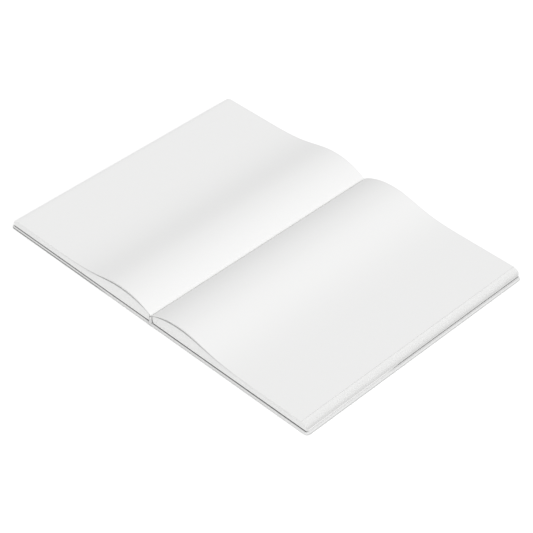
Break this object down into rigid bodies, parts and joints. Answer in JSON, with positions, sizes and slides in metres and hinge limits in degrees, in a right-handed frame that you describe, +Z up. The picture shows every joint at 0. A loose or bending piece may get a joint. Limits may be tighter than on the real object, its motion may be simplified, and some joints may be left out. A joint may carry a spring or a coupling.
{
  "type": "notebook",
  "caption": "Hardcover notebook with blank leaves lying open at its middle; the covers close and the top leaf on each side lifts.",
  "frame": {"origin": "on the table, under the middle of the spine, centred along it", "axes": "+X across the spread to the right-hand page, +Y along the spine to the head, +Z up from the table"},
  "size_m": [0.2926, 0.2124, 0.0166],
  "materials": {
    "wrap": "matte",
    "board": "matte",
    "mull": "matte",
    "endpaper": "matte",
    "paper": "matte",
    "thread": "matte"
  },
  "bodies": {
    "left_half": {"cover_wrap_left": "wrap", "cover_board_left": "board", "mull_flange_left": "mull", "endpaper_left": "endpaper", "signature_left_1": "paper", "signature_left_2": "paper", "signature_left_3": "paper", "signature_left_4": "paper", "signature_left_5": "paper", "signature_left_6": "paper", "thread_left": "thread"},
    "spine": {"cover_wrap_spine": "wrap", "mull_spine": "mull"},
    "right_half": {"cover_wrap_right": "wrap", "cover_board_right": "board", "mull_flange_right": "mull", "endpaper_right": "endpaper", "signature_right_1": "paper", "signature_right_2": "paper", "signature_right_3": "paper", "signature_right_4": "paper", "signature_right_5": "paper", "signature_right_6": "paper", "thread_right": "thread"},
    "leaf_left": {"top_leaf_left": "paper"},
    "leaf_right": {"top_leaf_right": "paper"}
  },
  "joints": [
    {"name": "spine_hinge", "type": "hinge", "parent": "left_half", "child": "spine", "pos_m": [0, 0, 0.0088], "axis": [0, -1, 0], "range_deg": [0, 90], "deforming": ["signature_left_4", "signature_left_5", "signature_left_6", "top_leaf_left", "cover_wrap_spine", "mull_spine"]},
    {"name": "right_hinge", "type": "hinge", "parent": "spine", "child": "right_half", "pos_m": [0, 0, 0.0088], "axis": [0, -1, 0], "range_deg": [0, 90], "deforming": ["signature_right_4", "signature_right_5", "signature_right_6", "top_leaf_right", "cover_wrap_spine", "mull_spine"]},
    {"name": "leaf_left_lift", "type": "hinge", "parent": "left_half", "child": "leaf_left", "pos_m": [0, 0, 0.0088], "axis": [0, -1, 0], "range_deg": [-52, 0]},
    {"name": "leaf_right_lift", "type": "hinge", "parent": "right_half", "child": "leaf_right", "pos_m": [0, 0, 0.0088], "axis": [0, 1, 0], "range_deg": [-52, 0]}
  ]
}
